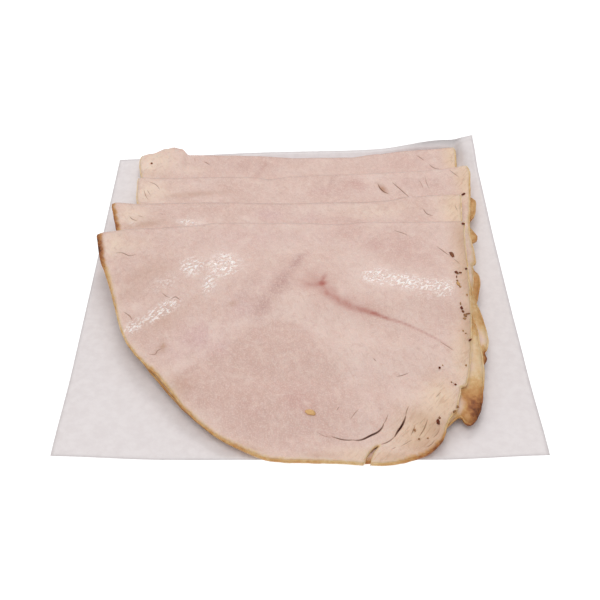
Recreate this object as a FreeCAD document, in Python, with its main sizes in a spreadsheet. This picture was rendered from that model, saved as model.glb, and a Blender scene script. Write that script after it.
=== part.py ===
"""Four folded slices of roast poultry, shingled on a square sheet of deli paper.

Millimetres, +Z up, -Y towards the front.  The origin is the middle of the paper's underside.
Slice 1 lies on the paper at the back and slice 4 is the front one, on top.  Each slice is a lower
half and an upper half, joined at the back by a fold that runs along X, and both halves carry a
browned skin along their round edge.  A slice is drawn in its own frame, with y = 0 at the fold and
z = 0 at its underside, and its Placement lays it in the stack.
"""
import FreeCAD, Part
import Sketcher
import math
import os

from FreeCAD import Vector

SLICE_COUNT = 4
SHEET_NAME = "Dims"

DIMENSIONS = {
    "paper_side": 152.4,
    "paper_thick": 0.3,
    "paper_gap": 0.3,
    "layer_thick": 1.7,
    "layer_gap": 0.2,
    "seam_gap": 0.05,
    "skin_width": 1.2,
    "slice_depth": 95.5,
    "shingle": 19.5,
    "rear_fold_y": 73.5,
    "slice_left": 75.0,
    "slice_right": 62.0,
    "flank_x": 29.0,
    "flank_y": 84.0,
    "flank_radius": 138.0,
    "front_radius": 90.0,
    "upper_corner_x": 36.0,
    "upper_corner_y": 92.7,
    "upper_side_x": 57.6,
    "upper_corner_radius": 67.0,
    "lower_corner_x": 30.0,
    "lower_corner_y": 90.5,
    "lower_side_x": 61.0,
    "lower_corner_radius": 35.0,
    "side_y": 45.5,
    "shift_of_1": 5.5,
    "shift_of_2": 6.8,
    "shift_of_3": 1.8,
    "shift_of_4": 0.0,
    "flake_radius": 0.9,
    "flake_thick": 0.5,
    "crumb_long": 1.5,
    "crumb_wide": 1.0,
    "crumb_high": 0.7,
}

# Lengths that follow from the cells, as expressions.
SLICE_HEIGHT = "(2 * Dims.layer_thick + Dims.layer_gap)"
PITCH = "(2 * Dims.layer_thick + 2 * Dims.layer_gap)"
SLOPE = "(" + PITCH + " / Dims.shingle)"
REACH = "(Dims.slice_depth + 0.5)"
AXIS_HEIGHT = "(Dims.layer_thick + Dims.layer_gap / 2)"

# How far behind the fold a half slice's outline closes, clear of the meat.
BEHIND_FOLD = 4.0

# Pepper flakes on the front slice: x, distance in front of the fold, size factor, turn in degrees.
FLAKES = [
    (53.8, 15.5, 1.3, 20.0),
    (54.2, 24.8, 0.8, 50.0),
    (56.0, 25.4, 0.8, 10.0),
    (53.6, 31.0, 0.9, 75.0),
    (53.8, 41.8, 1.0, 35.0),
    (55.2, 44.6, 1.0, 60.0),
    (44.3, 63.4, 0.6, 15.0),
    (48.7, 69.4, 0.6, 40.0),
    (42.2, 81.6, 1.1, 80.0),
]
CRUMB_X = 2.5
CRUMB_FORWARD = 78.9

doc = FreeCAD.newDocument("FoldedSlices")


def make_sheet():
    """The driving dimensions, one aliased cell each."""
    sheet = doc.addObject("Spreadsheet::Sheet", SHEET_NAME)
    for row, (alias, value) in enumerate(DIMENSIONS.items(), start=1):
        sheet.set(f"A{row}", alias)
        sheet.set(f"B{row}", str(value))
        sheet.setAlias(f"B{row}", alias)
    doc.recompute()
    return sheet


dims = make_sheet()


def number(expression):
    """What an expression comes to now, in millimetres."""
    return float(dims.evalExpression(expression.replace(SHEET_NAME + ".", "")))


def new_body(label, place=None):
    """A body named after its node, laid by the expressions in place: (x, y, z)."""
    body = doc.addObject("PartDesign::Body", label)
    body.Label = label
    for axis, expression in zip("xyz", place or ()):
        body.setExpression(f"Placement.Base.{axis}", expression)
    return body


def new_sketch(body, name, plane_role):
    """A sketch on one of the body's own origin planes."""
    sketch = body.newObject("Sketcher::SketchObject", name)
    plane = next(item for item in body.Origin.OriginFeatures if item.Role == plane_role)
    sketch.AttachmentSupport = [(plane, "")]
    sketch.MapMode = "FlatFace"
    return sketch


def arc_between(start, end, radius):
    """The counter-clockwise arc of that radius from start to end, bulging to the right."""
    chord = end.sub(start)
    middle = start.add(end).multiply(0.5)
    rise = math.sqrt(max(0.0, radius ** 2 - (chord.Length / 2) ** 2))
    centre = middle.add(Vector(-chord.y, chord.x, 0).normalize().multiply(rise))
    first = math.atan2(start.y - centre.y, start.x - centre.x)
    last = math.atan2(end.y - centre.y, end.x - centre.x)
    circle = Part.Circle(centre, Vector(0, 0, 1), radius)
    return Part.ArcOfCircle(circle, first, last)


def add_loop(sketch, corners, radii=None):
    """Close a loop through the corners, counter-clockwise, with each edge's ends bound to cells.

    corners holds pairs of expressions.  radii maps an edge's index to the expression of its radius;
    every other edge is straight.
    """
    radii = radii or {}
    points = [Vector(number(x), number(y), 0) for x, y in corners]
    edges = []
    for index, start in enumerate(points):
        end = points[(index + 1) % len(points)]
        if index in radii:
            edge = arc_between(start, end, number(radii[index]))
        else:
            edge = Part.LineSegment(start, end)
        edges.append(sketch.addGeometry(edge, False))
    for index, edge in enumerate(edges):
        following = edges[(index + 1) % len(edges)]
        sketch.addConstraint(Sketcher.Constraint("Coincident", edge, 2, following, 1))
        for kind, expression, place in zip(("DistanceX", "DistanceY"), corners[index], points[index]):
            held = sketch.addConstraint(Sketcher.Constraint(kind, -1, 1, edge, 1, place))
            sketch.setExpression(f"Constraints[{held}]", expression)
        if index in radii:
            size = number(radii[index])
            held = sketch.addConstraint(Sketcher.Constraint("Radius", edge, size))
            sketch.setExpression(f"Constraints[{held}]", radii[index])


def pad(body, sketch, lengths):
    """Pad a sketch to both sides: lengths is the expression ahead and the one behind, or one only."""
    feature = body.newObject("PartDesign::Pad", sketch.Name + "_pad")
    feature.Profile = sketch
    feature.setExpression("Length", lengths[0])
    if len(lengths) > 1:
        feature.SideType = "Two sides"
        feature.setExpression("Length2", lengths[1])
    return feature


def cut_through(body, sketch):
    """Cut a sketch on the XY plane through the whole body, above the plane and below it."""
    before = body.Shape.Volume
    feature = body.newObject("PartDesign::Pocket", sketch.Name + "_cut")
    feature.Profile = sketch
    feature.SideType = "Two sides"
    feature.Type = "ThroughAll"
    feature.Type2 = "ThroughAll"
    doc.recompute()
    if not body.Shape.Volume < before:
        raise RuntimeError(f"{feature.Name} cut nothing")


def make_paper():
    """The flat square sheet that the slices lie on."""
    body = new_body("deli_paper")
    half = "Dims.paper_side / 2"
    sketch = new_sketch(body, "paper_outline", "XY_Plane")
    add_loop(sketch, [("-" + half, "-" + half), (half, "-" + half), (half, half), ("-" + half, half)])
    pad(body, sketch, ["Dims.paper_thick"])
    return body


def slice_place(index):
    """Where slice number index lies: each one further forward and on top of the last."""
    step = index - 1
    return (
        f"Dims.shift_of_{index}",
        f"Dims.rear_fold_y - {step} * Dims.shingle",
        f"Dims.paper_thick + Dims.paper_gap + {step} * {PITCH}",
    )


def plateau(index):
    """How far forward of its fold slice number index lies level before it slopes down."""
    return f"(Dims.slice_depth - {index - 1} * Dims.shingle)"


def layer_profile(index, underside, back):
    """One layer seen from the side: level over the slices below it, then down to the paper."""
    fall = f"{SLOPE} * ({REACH} - {plateau(index)})"
    top = f"({underside} + Dims.layer_thick)"
    return [
        (f"-{plateau(index)}", underside),
        (f"-{REACH}", f"{underside} - {fall}"),
        (f"-{REACH}", f"{top} - {fall}"),
        (f"-{plateau(index)}", top),
        (back, top),
        (back, underside),
    ]


def outline(half, inset):
    """A half slice seen from above: straight at the fold and round at the front.

    inset is how far inside the slice's own edge the loop runs.  It is 0 along the skin's outside.
    """
    def inward(expression, share):
        return f"{expression} + {share * inset} * Dims.skin_width"

    corners = [
        (inward("Dims.slice_right", -1.0), str(BEHIND_FOLD)),
        (inward("-Dims.slice_left", 1.0), str(BEHIND_FOLD)),
        (inward("-Dims.slice_left", 1.0), "0"),
        (inward("-Dims.flank_x", 0.5), inward("-Dims.flank_y", 0.9)),
        (inward(f"Dims.{half}_corner_x", -0.4), inward(f"-Dims.{half}_corner_y", 0.9)),
        (inward(f"Dims.{half}_side_x", -1.0), "-Dims.side_y"),
    ]
    radii = {
        2: "Dims.flank_radius",
        3: "Dims.front_radius",
        4: f"Dims.{half}_corner_radius",
    }
    return corners, radii


def add_frame(sketch):
    """A rectangle well outside the slice, so that a cut takes everything beyond its outline."""
    side = "2 * Dims.slice_left"
    add_loop(sketch, [("-" + side, "-" + side), (side, "-" + side), (side, side), ("-" + side, side)])


def start_layer(label, index, half):
    """A body holding the whole strip that a layer is cut from."""
    underside = "0" if half == "lower" else "(Dims.layer_thick + Dims.layer_gap)"
    back = "0" if half == "lower" else "-Dims.seam_gap"
    body = new_body(label, slice_place(index))
    sketch = new_sketch(body, label + "_side", "YZ_Plane")
    add_loop(sketch, layer_profile(index, underside, back))
    pad(body, sketch, ["Dims.slice_left", "Dims.slice_left"])
    doc.recompute()
    return body


def make_meat(index, half):
    """Half a slice without its skin."""
    label = f"slice_{index}_{half}_half"
    body = start_layer(label, index, half)
    sketch = new_sketch(body, label + "_outline", "XY_Plane")
    add_frame(sketch)
    add_loop(sketch, *outline(half, 1))
    cut_through(body, sketch)
    return body


def make_skin(index, half):
    """The browned skin along the round edge of half a slice."""
    label = f"slice_{index}_{half}_skin"
    body = start_layer(label, index, half)
    outside = new_sketch(body, label + "_outside", "XY_Plane")
    add_frame(outside)
    add_loop(outside, *outline(half, 0))
    cut_through(body, outside)
    inside = new_sketch(body, label + "_inside", "XY_Plane")
    add_loop(inside, *outline(half, 1))
    cut_through(body, inside)
    return body


def make_fold(index):
    """The round back of a slice, where the meat bends from its lower half up to its upper half."""
    label = f"slice_{index}_fold"
    body = new_body(label, slice_place(index))
    sketch = new_sketch(body, label + "_side", "YZ_Plane")
    corners = [("0", SLICE_HEIGHT), ("0", "0"), (AXIS_HEIGHT, AXIS_HEIGHT)]
    add_loop(sketch, corners, {1: AXIS_HEIGHT, 2: AXIS_HEIGHT})
    pad(body, sketch, ["Dims.slice_right", "Dims.slice_left"])
    return body


def lay_on_front_slice(item, x, forward, lift):
    """Lay a small piece on the front slice's top, lift above it, tipped with the slope there."""
    drop = f"{SLOPE} * max({forward} - {plateau(SLICE_COUNT)}; 0)"
    bump = f"{SLICE_HEIGHT} - {drop} + {lift}"
    base = slice_place(SLICE_COUNT)
    item.setExpression("Placement.Base.x", f"{base[0]} + {x}")
    item.setExpression("Placement.Base.y", f"{base[1]} - {forward}")
    item.setExpression("Placement.Base.z", f"{base[2]} + {bump}")


def slope_turn(forward, turn):
    """The rotation that turns a piece about its own upright and then tips it with the slope."""
    sloping = forward > number(plateau(SLICE_COUNT))
    tip = math.degrees(math.atan(number(SLOPE))) if sloping else 0.0
    return FreeCAD.Rotation(Vector(1, 0, 0), tip) * FreeCAD.Rotation(Vector(0, 0, 1), turn)


def make_flakes():
    """Cracked pepper pressed into the front slice, a group of small five-sided chips."""
    chips = []
    for x, forward, factor, turn in FLAKES:
        chip = doc.addObject("Part::Prism", "chip")
        chip.Polygon = 5
        chip.setExpression("Circumradius", f"{factor} * Dims.flake_radius")
        chip.setExpression("Height", "Dims.flake_thick")
        chip.Placement.Rotation = slope_turn(forward, turn)
        lay_on_front_slice(chip, x, forward, "-Dims.flake_thick / 2")
        chips.append(chip)
    group = doc.addObject("Part::Compound", "pepper_flakes")
    group.Label = "pepper_flakes"
    group.Links = chips
    return group


def make_crumb():
    """A loose crumb of skin that sticks to the front slice."""
    crumb = doc.addObject("Part::Ellipsoid", "skin_crumb")
    crumb.Label = "skin_crumb"
    crumb.setExpression("Radius1", "Dims.crumb_high")
    crumb.setExpression("Radius2", "Dims.crumb_long")
    crumb.setExpression("Radius3", "Dims.crumb_wide")
    crumb.Placement.Rotation = slope_turn(CRUMB_FORWARD, 0.0)
    lay_on_front_slice(crumb, CRUMB_X, CRUMB_FORWARD, "0")
    return crumb


def make_slice(index):
    """The five sub-parts of one folded slice."""
    parts = [make_fold(index)]
    for half in ("lower", "upper"):
        parts.append(make_meat(index, half))
        parts.append(make_skin(index, half))
    return parts


def check_document():
    """Stop if any object of the document failed to recompute."""
    for item in doc.Objects:
        if "Invalid" in item.State or "Error" in item.State:
            raise RuntimeError(f"{item.Label} is {item.State}")


def write_parts(parts):
    """Write each sub-part's shape to its own file."""
    os.makedirs("parts", exist_ok=True)
    for part in parts:
        shape = part.Shape
        if shape.isNull() or not shape.isValid():
            raise RuntimeError(f"{part.Label} has no valid shape")
        shape.exportStep(f"parts/{part.Label}.step")
        print(f"{part.Label:24s} {len(shape.Solids)} solid(s) {shape.Volume:10.2f} mm3")


sub_parts = [make_paper()]
for slice_index in range(1, SLICE_COUNT + 1):
    sub_parts.extend(make_slice(slice_index))
sub_parts.append(make_flakes())
sub_parts.append(make_crumb())
doc.recompute()
check_document()
write_parts(sub_parts)
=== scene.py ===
"""Looks for four folded slices of roast breast on a sheet of deli paper.

Lengths inside this script are millimetres, and mesh_piece() turns them into the frame's metres.  A
slice is drawn flat first: u runs along its fold and v is the distance from the middle of the fold,
plus on the upper half and minus on the lower half.  to_space() then folds it and lays it down.
"""
import math

import bmesh
import bpy
import numpy as np
from mathutils import Matrix, Vector, noise
from mathutils.geometry import delaunay_2d_cdt


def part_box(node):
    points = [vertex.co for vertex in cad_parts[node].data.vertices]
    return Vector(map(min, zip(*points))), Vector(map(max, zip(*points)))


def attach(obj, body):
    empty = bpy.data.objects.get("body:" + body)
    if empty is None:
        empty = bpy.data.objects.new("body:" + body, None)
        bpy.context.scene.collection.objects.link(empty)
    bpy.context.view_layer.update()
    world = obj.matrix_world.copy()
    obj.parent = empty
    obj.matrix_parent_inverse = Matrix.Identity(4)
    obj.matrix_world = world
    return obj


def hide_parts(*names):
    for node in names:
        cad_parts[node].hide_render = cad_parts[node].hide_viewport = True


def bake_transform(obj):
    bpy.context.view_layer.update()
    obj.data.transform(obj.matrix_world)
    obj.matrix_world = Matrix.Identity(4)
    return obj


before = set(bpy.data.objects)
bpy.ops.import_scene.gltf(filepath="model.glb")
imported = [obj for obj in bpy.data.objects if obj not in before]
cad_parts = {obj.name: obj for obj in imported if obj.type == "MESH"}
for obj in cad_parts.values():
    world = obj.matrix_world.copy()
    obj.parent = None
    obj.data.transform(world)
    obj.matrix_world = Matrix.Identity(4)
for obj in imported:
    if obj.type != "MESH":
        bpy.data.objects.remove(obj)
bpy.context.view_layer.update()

MM = 0.001

# ------------------------ sizes

SLICE_COUNT = 4
FRONT = SLICE_COUNT
LAYER = 1.65
LAYER_GAP = 0.15
FOLD_RADIUS = 1.35
ROLL = math.pi * FOLD_RADIUS / 2
PUFF_REACH = 6.0
LIFT_REACH = 14.0
SLOPE_REACH = 0.75
PAPER_THICK = 0.08
PAPER_POINTS = 120
PAPER_BOW_RIGHT = 1.2
PAPER_BOW_BACK = 2.6

GRID_STEP = 1.5
GRID_LOW = (-96.0, -108.0)
GRID_SIZE = (130, 136)
DRAPE_FRONT = 12.0
DRAPE_SIDE = 44.0
GRID_X, GRID_Y = np.meshgrid(*[low + GRID_STEP * np.arange(n) for low, n in zip(GRID_LOW, GRID_SIZE)])
GRID_SPOTS = np.stack([GRID_X.ravel(), GRID_Y.ravel()], axis=1)

# The slack between a slice and what it lies on, the gap over the paper, the most that the curled
# paper lifts a slice, and how far back that counts.
SLACK, PAPER_GAP, GROUND_MOST, GROUND_BACK = 0.28, 0.2, 6, 70

# How much thinner the meat is at its edge and how far in that reaches, how far its edge keeps in from
# the skin's, and the fine points: round cracks, between rows and columns, and from the edge.
EDGE_THINNING, EDGE_REACH, EDGE_INSET = 0.35, 0.7, 0.3
CRACK_STEP, CRACK_CLEAR, CRACK_FROM_EDGE = 0.32, 0.38, 0.25
CRACK_LIPS = (-1.7, -0.8, 0, 0.8, 1.7)
ROW_STEP, EDGE_CLEAR, SLICE_SIDE, SLICE_DEEP = 0.866, 0.55, 75, 100

# The skin's band: points round it, how far it reaches in over the meat and out past its edge.
SKIN_SIDES, SKIN_IN, SKIN_OUT = 14, 0.6, 0.05
CHIP_SPOKES, CHIP_RINGS = 14, 9
PEPPER_LIFT, PEPPER_HIGH = 0.06, 0.3
CRUMB_PLACE, CRUMB_LIFT, CRUMB_SIZE, CRUMB_TURN = (9.7, 80.6), 0.25, (1.7, 0.85, 0.55), -0.25

FOLD = {k: np.array(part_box(f"slice_{k}_fold")) / MM for k in range(1, SLICE_COUNT + 1)}
MIDDLE_X = {k: (FOLD[k][0][0] + FOLD[k][1][0]) / 2 for k in FOLD}
FOLD_Y = {k: FOLD[k][0][1] for k in FOLD}
PAPER_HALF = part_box("deli_paper")[1].x / MM

# The edge of a slice laid flat, clockwise from the left end of its fold.  Each row is u from the
# fold's middle, v from the fold, the width of the skin that shows there, and its tone: 0 pale fat,
# 1 dark brown.  The front of each half is the same on every slice, and the ends are its own.
UPPER_FRONT = [
    (-62.9, 20.8, 1.7, 0.58), (-59.5, 29.7, 1.3, 0.43), (-56.5, 39, 1.1, 0.4), (-53, 48.2, 1, 0.36),
    (-48, 56.2, 1, 0.4), (-38.2, 67, 1.1, 0.43), (-29.2, 78.3, 1, 0.45), (-20.6, 86.1, 1.1, 0.45),
    (-12.8, 91.1, 1.2, 0.48), (-3.1, 95.5, 1.2, 0.43), (8, 96.3, 1, 0.4), (17.1, 96.6, 0.9, 0.36),
    (26.2, 97.2, 0.8, 0.3), (33.3, 97.1, 1, 0.43), (40, 95.7, 1.5, 0.7), (45, 93.7, 1.6, 0.72),
    (48.8, 90.4, 1.4, 0.74), (50.9, 87, 0.9, 0.5), (51.8, 83.9, 0.5, 0.3), (53.6, 81.1, 0.5, 0.3),
    (55.3, 79.4, 0.4, 0.25), (56.2, 75.5, 0.4, 0.22), (57.2, 72.9, 0.4, 0.2), (57.5, 71, 0.4, 0.2),
    (59, 70.6, 0.4, 0.25), (60.1, 68, 0.4, 0.25), (61.6, 61.1, 0.4, 0.25), (62.8, 53.1, 0.4, 0.28),
]
LOWER_FRONT = [
    (53.4, -82.4, 0.5, 0.55), (50.6, -84.6, 0.7, 0.5), (46.5, -87, 1, 0.5), (39, -92, 1.2, 0.6),
    (30, -95.2, 1.2, 0.65), (22, -95.4, 1.2, 0.65), (10, -94.2, 1.2, 0.65), (-2, -92.2, 1.2, 0.7),
    (-12, -88.6, 1.2, 0.7), (-26, -80.6, 1.2, 0.65), (-38, -68, 1.2, 0.6), (-48, -54, 1.2, 0.6),
    (-58, -33, 1.3, 0.65),
]
LEFT_END = {
    1: [(-63.6, -18, 0.8, 0.2), (-65.4, -5, 0.6, 0.2), (-66.2, 0, 0.5, 0.15), (-66.9, 4, 0.5, 0.15),
        (-66.3, 9.5, 0.5, 0.2), (-65, 14.8, 0.6, 0.2)],
    2: [(-63, -18, 0.8, 0.2), (-65.2, -6, 0.6, 0.15), (-66, 0, 0.5, 0.1), (-66.2, 3, 0.5, 0.1),
        (-65.8, 8, 0.5, 0.15), (-64.8, 16.2, 0.6, 0.2)],
    3: [(-63.4, -18, 1.8, 0.7), (-66.8, -7, 2, 0.75), (-68.2, 0, 1.8, 0.7), (-68, 3, 1.9, 0.7),
        (-66.9, 7, 2.1, 0.76), (-65.6, 12, 2.2, 0.78), (-64.2, 16.6, 2, 0.74)],
    4: [(-63.6, -17.4, 1.8, 0.7), (-67.3, -6.7, 2.3, 0.75), (-68.6, 0, 2.3, 0.66), (-68.6, 2.4, 2.6, 0.72),
        (-67.8, 5.2, 2.8, 0.82), (-66.7, 10.1, 2.7, 0.88), (-65.6, 14, 2.3, 0.78)],
}
RIGHT_END = {
    1: [(62.4, 44, 0.6, 0.4), (64.4, 28, 0.7, 0.3), (65.9, 12.3, 0.8, 0.3), (66.2, 6, 0.9, 0.2),
        (65.6, 1.6, 0.8, 0.15), (64.4, 0, 0.8, 0.15), (63.8, -3, 0.8, 0.15), (63.4, -20, 1, 0.3),
        (62.4, -45, 1, 0.4), (60, -65, 1.2, 0.4), (57, -76, 1.4, 0.5)],
    2: [(63.4, 53, 0.7, 0.3), (63.9, 46, 0.7, 0.25), (63.6, 38, 0.7, 0.25), (64.6, 29.8, 0.8, 0.3),
        (66.5, 17.2, 0.9, 0.35), (67.3, 10.3, 0.9, 0.35), (67.6, 5, 0.9, 0.3), (66.8, 1.7, 0.8, 0.25),
        (65.8, -0.9, 0.8, 0.25), (65.4, -8, 0.9, 0.3), (65.8, -14.4, 2.4, 0.55), (67.4, -16.2, 3.8, 0.58),
        (68.6, -17.6, 4.4, 0.56), (68.4, -21, 4.4, 0.54), (67.6, -24.6, 3.6, 0.52),
        (66.2, -26.9, 2.6, 0.58), (64.9, -28.6, 1.8, 0.5), (64.6, -31.6, 2, 0.46), (65.6, -34, 3.2, 0.5),
        (66.7, -36.8, 4, 0.56), (66.2, -38.9, 3.6, 0.62), (64.6, -40, 2, 0.5), (63.2, -43, 1.2, 0.3),
        (62.7, -51, 1.8, 0.4), (63.1, -54.8, 3.8, 0.6), (64.2, -56.4, 5, 0.64), (64.5, -60, 5.4, 0.62),
        (63.3, -65.2, 5.2, 0.62), (62.4, -68.6, 4, 0.58), (61, -71.6, 2.6, 0.58), (57.6, -76.5, 1.4, 0.5)],
    3: [(63.4, 45, 0.4, 0.25), (64.4, 30, 0.4, 0.25), (65.5, 15.5, 0.5, 0.28), (66.5, 4.2, 0.5, 0.28),
        (66.7, 0.1, 0.5, 0.28), (66, -6, 0.6, 0.3), (65, -20, 0.9, 0.3), (64.6, -40, 1.2, 0.4),
        (65.2, -51.8, 3.6, 0.5), (66.4, -56.5, 3.8, 0.52), (67.6, -61.6, 3.4, 0.46),
        (68.1, -65.9, 1.6, 0.3), (68, -69.4, 1.2, 0.26), (67.1, -72.4, 1.6, 0.5), (66, -73.6, 1.6, 0.7),
        (66.6, -75.7, 2.2, 0.9), (65.7, -77.6, 1.6, 0.8), (62.3, -79.3, 1.4, 0.5), (57.9, -81, 1.2, 0.5)],
    4: [(64, 42.2, 0.4, 0.28), (64.7, 30.9, 0.4, 0.26), (65.3, 21.3, 0.4, 0.26), (66.1, 8.5, 0.4, 0.26),
        (66.9, 1.3, 0.4, 0.25), (66.9, -1.5, 0.5, 0.25), (66.2, -10, 0.9, 0.4), (64.6, -25, 1.2, 0.4),
        (64.1, -37.5, 2.2, 0.45), (64.6, -42.7, 3.2, 0.46), (65.6, -47.8, 3.8, 0.46),
        (65.9, -54.2, 4.2, 0.32), (66.1, -61.8, 4, 0.27), (65.6, -67.1, 4.4, 0.44), (64.5, -72.1, 5.6, 0.7),
        (63.3, -77.3, 7.6, 0.92), (61.4, -81, 8, 0.94), (59.3, -82.8, 6, 0.84), (57.7, -82.3, 3.6, 0.72),
        (56.4, -80.4, 1.6, 0.6)],
}

# How far each slice's fold stands above and behind a straight level line, in all: u and the distance.
FOLD_LINE = {
    1: [(-67, 0), (-62, 1.2), (-56, 4), (-52.7, 4.9), (-49.4, 4), (-46.2, 0.1), (-30, -0.4), (-16, -1),
        (0, -2.6), (22, -3), (34, -1.4), (46, -0.2), (66, 0)],
    2: [(-66, -1), (-54, -1.6), (-36, -0.8), (-20, -1.2), (-12.5, -2.5), (-4, -0.8), (10, 0), (41, 0.1),
        (56, 0.9), (67, 1.7)],
    3: [(-68, -1.2), (-58, -3.2), (-30, -2.6), (5, -3.4), (26, -3.2), (38, -2.3), (46, -0.6), (66, 0)],
    4: [(-68, -1.4), (-60, -2), (-47, -2.6), (-34, -1.5), (-23, -0.1), (6, -0.3), (21, -1.4), (32, 0),
        (67, 0)],
}

# The sheet of paper's corners in plan, as they curl: front left, front right, back left, back right.
PAPER_CORNERS = [(-75.3, -76.3), (75.3, -76.3), (-77.8, 77.4), (72.6, 77.4)]

# ------------------------ curves and noise


def curve_point(four, knots, where):
    """One point of the curve through four rows at those knots."""
    level = list(four)
    for order in (1, 2, 3):
        following = []
        for index in range(4 - order):
            low, high = (knots[1], knots[2]) if order == 3 else (knots[index], knots[index + order])
            share = (where - low) / (high - low)
            following.append(level[index] * (1 - share) + level[index + 1] * share)
        level = following
    return level[0]


def curve_stretch(four, step):
    """A centripetal curve from the second of four rows to the third, sampled about every step."""
    knots = [0.0]
    for first, second in zip(four, four[1:]):
        knots.append(knots[-1] + math.sqrt(np.linalg.norm(second[:2] - first[:2])))
    steps = max(1, round(np.linalg.norm(four[2][:2] - four[1][:2]) / step))
    places = np.linspace(knots[1], knots[2], steps, endpoint=False)
    return [curve_point(four, knots, where) for where in places]


def smooth_loop(rows, step):
    """A closed curve through the rows, sampled about every step along its first two columns."""
    rows = np.array(rows, float)
    samples = []
    for index in range(len(rows)):
        samples += curve_stretch([rows[(index + offset) % len(rows)] for offset in (-1, 0, 1, 2)], step)
    return np.array(samples)


def grain(points, size, seed):
    """Smooth noise from -1 to 1 at each point, with features about size across.  Each use of it has
    seeds of its own, which are the slice's index and a number."""
    places = np.zeros((len(points), 3))
    places[:, :points.shape[1]] = points / size
    places += (seed * 3.17, seed * 1.73, seed * 7.31)
    return np.array([noise.noise(place) for place in places])


def ease(value):
    """0 below 0, 1 above 1 and an even S between."""
    value = np.clip(value, 0.0, 1.0)
    return value * value * (3 - 2 * value)


def loop_normals(loop):
    """Outward unit normals of an anticlockwise closed loop."""
    ahead = np.roll(loop, -1, axis=0) - np.roll(loop, 1, axis=0)
    ahead /= np.linalg.norm(ahead, axis=1)[:, None]
    return np.stack([ahead[:, 1], -ahead[:, 0]], axis=1)


def from_segment(points, start, end):
    """How far each point is from a straight segment, and the share of the way along it to there."""
    along = end - start
    share = np.clip((points - start) @ along / max(along @ along, 1e-12), 0, 1)
    return np.linalg.norm(points - start - share[:, None] * along, axis=1), share


def distance_to_line(points, line):
    """How far each point is from an open line of points."""
    nearest = np.full(len(points), np.inf)
    for start, end in zip(line, line[1:]):
        nearest = np.minimum(nearest, from_segment(points, start, end)[0])
    return nearest


def distance_to_loop(points, loop):
    """How far each point is from a closed loop of points."""
    return distance_to_line(points, np.vstack([loop, loop[:1]]))


def near_line(points, path):
    """How far each point is from a line, and what the line's third column comes to at that place."""
    best, reached = np.full(len(points), np.inf), np.zeros(len(points))
    for start, end in zip(path, path[1:]):
        away, share = from_segment(points, start[:2], end[:2])
        closer = away < best
        best[closer] = away[closer]
        reached[closer] = (start[2] + share * (end[2] - start[2]))[closer]
    return best, reached


def inside_loop(points, loop):
    """Which points lie inside a closed loop."""
    inside = np.zeros(len(points), bool)
    for start, end in zip(loop, np.roll(loop, -1, axis=0)):
        crosses = (start[1] > points[:, 1]) != (end[1] > points[:, 1])
        rise = end[1] - start[1]
        if rise != 0:
            level = start[0] + (points[:, 1] - start[1]) * (end[0] - start[0]) / rise
            inside ^= crosses & (points[:, 0] < level)
    return inside


# ------------------------ how the slices lie


def slice_loop(index, step):
    """The edge of a slice laid flat: u, v, skin width and tone round it, anticlockwise.  Where it is
    hidden it wanders further from slice to slice."""
    rows = LEFT_END[index] + UPPER_FRONT + RIGHT_END[index] + LOWER_FRONT
    loop = smooth_loop(rows, step)[::-1].copy()
    out = loop_normals(loop[:, :2])
    if index != FRONT:
        hidden = ease((np.abs(loop[:, 1]) - 24) / 12) * ease((60 - loop[:, 0]) / 12)
        loop[:, :2] += out * (1.3 * hidden * grain(loop[:, :2], 26.0, index))[:, None]
    ragged = 0.16 * grain(loop[:, :2], 3.2, index + 10) + 0.08 * grain(loop[:, :2], 1.1, index + 20)
    loop[:, :2] += out * ragged[:, None]
    uneven = 1 + 0.35 * grain(loop[:, :2], 5.0, index + 30)
    loop[:, 2] = np.maximum(loop[:, 2] * uneven, 0.35)
    loop[:, 3] += 0.14 * grain(loop[:, :2], 7.0, index + 40)
    return loop


# The places where the paper rises off the table, right down to its corners: how high, then from
# which x and over what distance, and from which y and over what distance.
PAPER_RISES = [(5, 62, 18, 18, 62), (2.6, 40, 40, -40, -40), (2.2, -40, -40, -40, -40)]
# The broad rise towards the back: how high at the back and at most, where it starts, how steeply it
# grows, and the x at which it is that high with the distance over which it grows to the right.
BROAD_HIGH, BROAD_MOST, BROAD_START, BROAD_POWER, BROAD_X, BROAD_REACH = 5.0, 5.2, -15.0, 1.3, 67.0, 42.0
# The curl of the paper behind the slices: the y where it starts and ends, how high it is at the
# right, and how much further forward it starts at the corner.
CURL_START, CURL_END, CURL_HIGH, CURL_CORNER = 76.0, 78.2, 3.7, 17.0


def ground(x, y):
    """How high the sheet of paper is off the table under the slices."""
    back = np.clip((y - BROAD_START) / (PAPER_HALF - BROAD_START), 0, None)
    height = np.minimum(BROAD_HIGH * back ** BROAD_POWER * np.exp((x - BROAD_X) / BROAD_REACH), BROAD_MOST)
    for most, from_x, over_x, from_y, over_y in PAPER_RISES:
        height = height + most * ease((x - from_x) / over_x) * ease((y - from_y) / over_y)
    return height


def paper_lift(x, y):
    """How high the sheet of paper is, with the curl behind the slices and at the back right."""
    rear = 0.6 + 1.3 * ease((x + 75.0) / 75.0) + 2.0 * ease((x - 20.0) / 40.0)
    start = CURL_START - CURL_CORNER * ease((x - 65.5) / 4.0)
    curl = CURL_HIGH * ease((x - 34.0) / 30.0) * ease((y - start) / (CURL_END - start))
    return ground(x, y) + rear * ease((y - CURL_START) / 4.0) + curl


def blurred(field, passes):
    """A height grid with its creases softened, first along its rows and then along its columns."""
    for _ in range(2 * passes):
        padded = np.pad(field, ((0, 0), (1, 1)), mode="edge")
        field = ((padded[:, :-2] + 2 * padded[:, 1:-1] + padded[:, 2:]) / 4).T
    return field


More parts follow.
